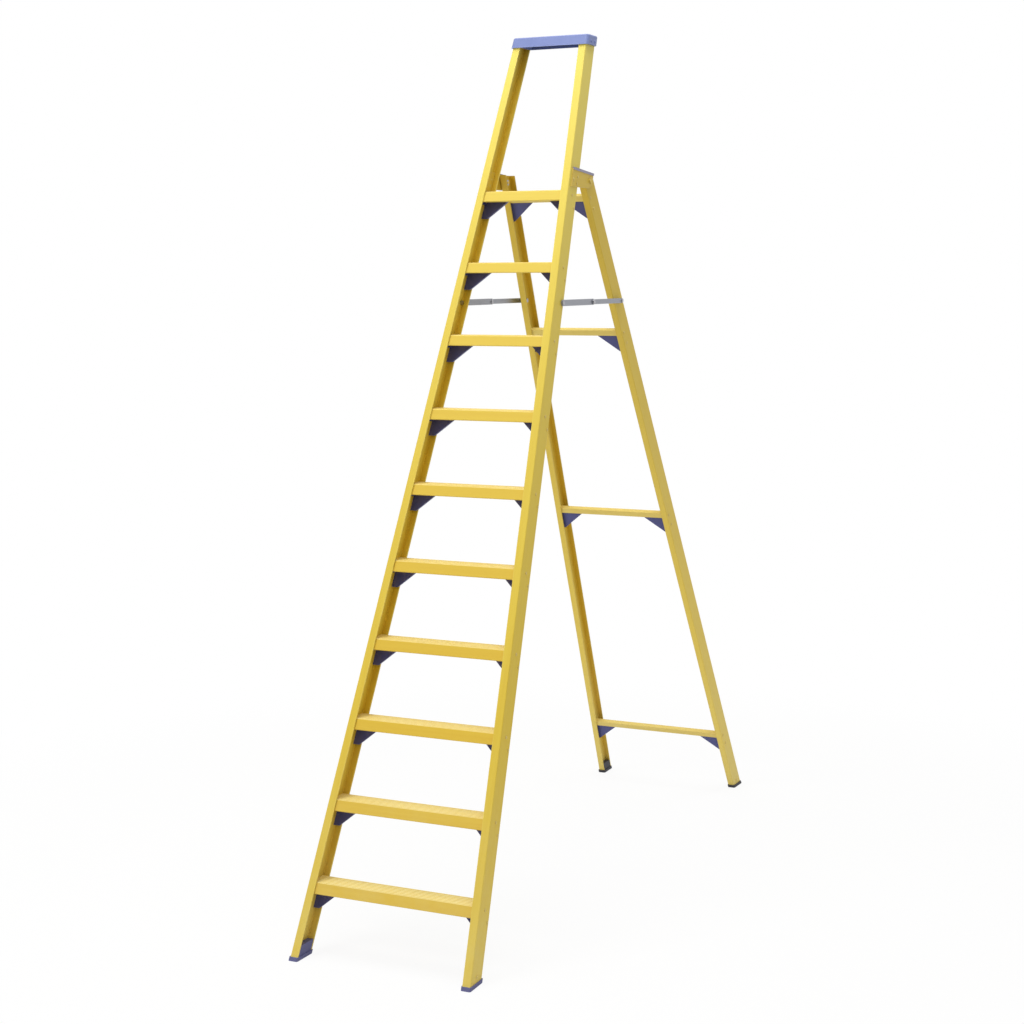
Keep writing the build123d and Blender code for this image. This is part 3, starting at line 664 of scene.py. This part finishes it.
class FinishBook:
    """Every finish of the ladder, made once."""

    STILE_ROUGH: Span = (0.38, 0.52)
    BOARD_ROUGH: Span = (0.4, 0.55)
    PLASTIC_ROUGH: Span = (0.45, 0.6)
    CAP_ROUGH: Span = (0.38, 0.5)
    RUBBER_ROUGH: Span = (0.6, 0.8)
    PAINT_ROUGH: Span = (0.35, 0.5)
    STAY_ROUGH: Span = (0.3, 0.45)
    BOLT_ROUGH: Span = (0.25, 0.4)
    FIBRE_BUMP = 0.25
    RUBBER_GRAIN = 500.0

    def __init__(self) -> None:
        """Make the materials."""
        effects = Effects()
        finishes = self.fibreglass() + self.mouldings() + self.metals()
        self.made = {finish.skin: finish.make(effects) for finish in finishes}

    def fibreglass(self) -> list[Fibreglass]:
        """Stiles, treads and rails.

        Returns:
            The fibreglass finishes.
        """
        return [
            Fibreglass(
                Skin.FRONT_STILE, linear(227, 200, 75), linear(217, 184, 58), self.STILE_ROUGH,
                self.FIBRE_BUMP, top_lighting_and_wear=linear(229, 213, 109), grain=Grain.FRONT_STILE,
            ),
            # Back stiles: a paler copy of the front stiles' yellow as painted light bounced off the
            # floor, darkening with height as painted shade under the front frame.
            Fibreglass(
                Skin.BACK_STILE, linear(236, 211, 104), linear(227, 198, 88), self.STILE_ROUGH,
                self.FIBRE_BUMP, top_lighting_and_wear=linear(196, 166, 56), grain=Grain.BACK_STILE,
            ),
            Fibreglass(
                Skin.TREAD, linear(227, 193, 69), linear(217, 177, 55), self.BOARD_ROUGH,
                self.FIBRE_BUMP, top_lighting_and_wear=linear(227, 209, 107), grain=Grain.ACROSS,
                top_sheen_colour=linear(244, 228, 160),
            ),
            Fibreglass(
                Skin.RAIL, linear(228, 203, 113), linear(218, 189, 93), self.BOARD_ROUGH,
                self.FIBRE_BUMP, top_lighting_and_wear=linear(222, 204, 117), grain=Grain.ACROSS,
            ),
        ]

    def mouldings(self) -> list[Moulded]:
        """Brackets, cap, feet and hinge strips.

        Returns:
            The moulded finishes.
        """
        return [
            Moulded(
                Skin.BRACKET, linear(82, 85, 140), linear(70, 73, 124), self.PLASTIC_ROUGH, bump=0.3
            ),
            Moulded(
                Skin.CAP, linear(118, 131, 182), linear(108, 121, 172), self.CAP_ROUGH, bump=0.2
            ),
            Moulded(
                Skin.FRONT_FOOT, linear(102, 103, 146), linear(84, 86, 124), self.RUBBER_ROUGH,
                bump=0.4, fineness=self.RUBBER_GRAIN,
            ),
            Moulded(
                Skin.BACK_FOOT, linear(66, 66, 74), linear(54, 54, 61), self.RUBBER_ROUGH,
                bump=0.4, fineness=self.RUBBER_GRAIN,
            ),
            Moulded(
                Skin.HINGE_STRIP, linear(150, 146, 164), linear(128, 124, 148), self.PLASTIC_ROUGH,
                bump=0.2,
            ),
        ]

    def metals(self) -> list[Metal]:
        """Painted and bare metal.

        Returns:
            The metal finishes.
        """
        return [
            Metal(
                Skin.HINGE_PLATE, linear(218, 190, 72), linear(206, 174, 58), self.PAINT_ROUGH,
                bump=0.1, metallic=0.0,
            ),
            Metal(
                Skin.RIVET, linear(222, 198, 96), linear(212, 184, 80), self.PAINT_ROUGH,
                bump=0.1, metallic=0.0,
            ),
            Metal(
                Skin.STAY, linear(160, 162, 169), linear(139, 141, 149), self.STAY_ROUGH,
                bump=0.2, metallic=0.85,
            ),
            Metal(
                Skin.BOLT, linear(178, 178, 182), linear(150, 150, 156), self.BOLT_ROUGH,
                bump=0.2, metallic=1.0,
            ),
        ]

    def dress(self, node: str, skin: Skin) -> None:
        """Give a CAD node its finish.

        Args:
            node: Name of the CAD node.
            skin: The finish.
        """
        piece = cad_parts[node]
        if not piece.material_slots:
            piece.data.materials.append(self.made[skin])
        for slot in piece.material_slots:
            slot.material = self.made[skin]
        LOG.info("%s in %s", node, skin.value)


@dataclass
class FrontFrame:
    """Climbing side: stiles, treads, brackets, cap, feet and hinge plates."""

    book: FinishBook
    treads: int = 10

    def dress(self) -> None:
        """Finish every CAD node of the climbing side."""
        for side in SIDES:
            self.book.dress(f"front_stile_{side}", Skin.FRONT_STILE)
            self.book.dress(f"front_foot_{side}", Skin.FRONT_FOOT)
            self.book.dress(f"hinge_plate_{side}", Skin.HINGE_PLATE)
            self.book.dress(f"hinge_cover_{side}", Skin.HINGE_STRIP)
            self.book.dress(f"hinge_backing_{side}", Skin.HINGE_PLATE)
        for number in range(1, self.treads + 1):
            self.book.dress(f"tread_{number:02d}", Skin.TREAD)
            self.book.dress(f"tread_brackets_{number:02d}", Skin.BRACKET)
        for moulding in ("top_cap", "cap_screws"):
            self.book.dress(moulding, Skin.CAP)
        for painted in ("front_rivets", "hinge_rivets", "hinge_bolts"):
            self.book.dress(painted, Skin.RIVET)
        for bare in ("hinge_nuts", "hinge_spacers", "stay_front_pins"):
            self.book.dress(bare, Skin.BOLT)


@dataclass
class BackFrame:
    """Hinged back: stiles, rails, brackets and feet."""

    book: FinishBook
    rails: int = 4

    def dress(self) -> None:
        """Finish every CAD node of the back frame."""
        for side in SIDES:
            self.book.dress(f"rear_stile_{side}", Skin.BACK_STILE)
            self.book.dress(f"rear_foot_{side}", Skin.BACK_FOOT)
        for number in range(1, self.rails + 1):
            self.book.dress(f"rear_rail_{number}", Skin.RAIL)
            self.book.dress(f"rear_rail_brackets_{number}", Skin.BRACKET)
        self.book.dress("rear_rivets", Skin.RIVET)
        self.book.dress("stay_bosses", Skin.BOLT)


@dataclass
class Stays:
    """Folding stays on both sides."""

    book: FinishBook

    def dress(self) -> None:
        """Finish the links and their pins."""
        for side in SIDES:
            self.book.dress(f"stay_front_link_{side}", Skin.STAY)
            self.book.dress(f"stay_rear_link_{side}", Skin.STAY)
            self.book.dress(f"stay_pins_{side}", Skin.BOLT)


@dataclass
class Lamp:
    """One soft area lamp."""

    name: str
    place: Point
    aim: Point
    size: float
    power: float

    def hang(self) -> None:
        """Put the lamp in the scene."""
        data = bpy.data.lights.new(self.name, "AREA")
        data.shape = "SQUARE"
        data.size = self.size
        data.energy = self.power
        lamp = bpy.data.objects.new(self.name, data)
        lamp.location = self.place
        lamp.rotation_mode = "QUATERNION"
        lamp.rotation_quaternion = (Vector(self.aim) - Vector(self.place)).to_track_quat("-Z", "Y")
        bpy.context.scene.collection.objects.link(lamp)


@dataclass
class Studio:
    """Pale floor, white surround and soft lamps."""

    ambient: float = 0.56
    sky: Colour = (1.0, 0.99, 0.97)
    floor_half: float = 40.0
    floor_drop: float = 0.0005
    floor_tone: Colour = (0.9, 0.9, 0.9)
    shadow_reach: float = 1.6
    shadow_end: float = 3.2
    shadow_share: float = 0.1
    lamps: list[Lamp] = field(default_factory=lambda: [
        Lamp("key_lamp", place=(-3.2, -6.0, 5.6), aim=(0.0, -0.1, 1.7), size=3.0, power=115.0),
        Lamp("top_lamp", place=(0.0, -0.5, 6.4), aim=(0.0, -0.5, 1.0), size=3.0, power=190.0),
    ])

    @staticmethod
    def seen_directly(sheet: NodeSheet) -> NodeSocket:
        """Mask of camera, glossy and transmitted rays.

        Args:
            sheet: Sheet of the material or world.

        Returns:
            The mask socket.
        """
        path = sheet.add("ShaderNodeLightPath")
        some = sheet.math("MAXIMUM", path.outputs["Is Camera Ray"], path.outputs["Is Glossy Ray"])
        return sheet.math("MAXIMUM", some, path.outputs["Is Transmission Ray"])

    @staticmethod
    def choose(sheet: NodeSheet, share: NodeSocket, low: Node, high: Node, output: Node) -> None:
        """Show one of two shaders by a mask.

        Args:
            sheet: Sheet of the material or world.
            share: Mask socket.
            low: Shader where the mask is 0.
            high: Shader where the mask is 1.
            output: Output node of the sheet.
        """
        mix = sheet.add("ShaderNodeMixShader")
        sheet.join(share, mix.inputs[0])
        sheet.join(low.outputs[0], mix.inputs[1])
        sheet.join(high.outputs[0], mix.inputs[2])
        sheet.join(mix.outputs[0], output.inputs["Surface"])

    def build_world(self) -> None:
        """White surround that lights the ladder evenly."""
        world = bpy.data.worlds.new("white_surround")
        bpy.context.scene.world = world
        world.use_nodes = True
        world.node_tree.nodes.clear()
        sheet = NodeSheet(world.node_tree)
        light = sheet.add("ShaderNodeBackground")
        light.inputs["Color"].default_value = (*self.sky, 1.0)
        light.inputs["Strength"].default_value = self.ambient
        seen = sheet.add("ShaderNodeBackground")
        seen.inputs["Color"].default_value = (*WHITE, 1.0)
        output = sheet.add("ShaderNodeOutputWorld")
        self.choose(sheet, self.seen_directly(sheet), light, seen, output)

    def floor_material(self) -> Material:
        """White that keeps a faint shadow near the ladder.

        Returns:
            The floor's material.
        """
        material = bpy.data.materials.new("floor_white")
        material.use_nodes = True
        material.node_tree.nodes.clear()
        sheet = NodeSheet(material.node_tree)
        matt = sheet.add("ShaderNodeBsdfDiffuse")
        matt.inputs["Color"].default_value = (*self.floor_tone, 1.0)
        glow = sheet.add("ShaderNodeEmission")
        glow.inputs["Color"].default_value = (*WHITE, 1.0)
        reach = sheet.add("ShaderNodeVectorMath", operation="LENGTH")
        sheet.join(sheet.add("ShaderNodeTexCoord").outputs["Object"], reach.inputs[0])
        fade = sheet.smooth_step(reach.outputs["Value"], self.shadow_reach, self.shadow_end)
        fade.inputs["To Min"].default_value = 1.0 - self.shadow_share
        share = sheet.math("MULTIPLY", self.seen_directly(sheet), fade.outputs["Result"])
        self.choose(sheet, share, matt, glow, sheet.add("ShaderNodeOutputMaterial"))
        return material

    def build_floor(self) -> None:
        """Flat floor, a hair under the feet."""
        half = self.floor_half
        mesh = bpy.data.meshes.new("studio_floor")
        corners = [(-half, -half, 0.0), (half, -half, 0.0), (half, half, 0.0), (-half, half, 0.0)]
        mesh.from_pydata(corners, [], [(0, 1, 2, 3)])
        mesh.materials.append(self.floor_material())
        floor = bpy.data.objects.new("studio_floor", mesh)
        floor.location = (0.0, 0.0, -self.floor_drop)
        bpy.context.scene.collection.objects.link(floor)

    def build(self) -> None:
        """Set up floor, surround, lamps and the view transform."""
        self.build_world()
        self.build_floor()
        for lamp in self.lamps:
            lamp.hang()
        bpy.context.scene.view_settings.view_transform = "Standard"
        LOG.info("studio with %d lamps", len(self.lamps))


@dataclass
class PhotoCamera:
    """Camera that sees the ladder as the photograph does, with its angles in degrees."""

    place: Point = (2.742659, -6.077801, 2.112988)
    azimuth: float = 25.39706
    elevation: float = 7.21671
    roll: float = -0.29418
    focal_px: float = 1896.347
    frame_px: float = 1024.0
    sensor_width: float = 36.0
    view_reach: float = 200.0

    def pose(self) -> Matrix:
        """Where the camera stands and how it is turned.

        Returns:
            The camera's matrix.
        """
        turn, tilt, roll = (math.radians(a) for a in (self.azimuth, self.elevation, self.roll))
        level = math.cos(tilt)
        back = Vector((math.sin(turn) * level, -math.cos(turn) * level, math.sin(tilt)))
        right = (-back).cross(Vector((0.0, 0.0, 1.0))).normalized()
        up = right.cross(-back)
        right_rolled = right * math.cos(roll) + up * math.sin(roll)
        up_rolled = up * math.cos(roll) - right * math.sin(roll)
        pose = Matrix((right_rolled, up_rolled, back)).transposed().to_4x4()
        pose.translation = Vector(self.place)
        return pose

    def build(self) -> None:
        """Make the camera and use it."""
        data = bpy.data.cameras.new("photo_camera")
        data.sensor_width = self.sensor_width
        data.lens = self.focal_px / self.frame_px * self.sensor_width
        data.clip_end = self.view_reach
        camera = bpy.data.objects.new("photo_camera", data)
        camera.matrix_world = self.pose()
        bpy.context.scene.collection.objects.link(camera)
        bpy.context.scene.camera = camera
        LOG.info("camera at %s", self.place)


def main() -> None:
    """Dress the ladder and set it in the studio."""
    logging.basicConfig(level=logging.INFO, format="%(name)s: %(message)s")
    book = FinishBook()
    for assembly in (FrontFrame(book), BackFrame(book), Stays(book)):
        assembly.dress()
    Studio().build()
    PhotoCamera().build()


if __name__ == "__main__":
    main()
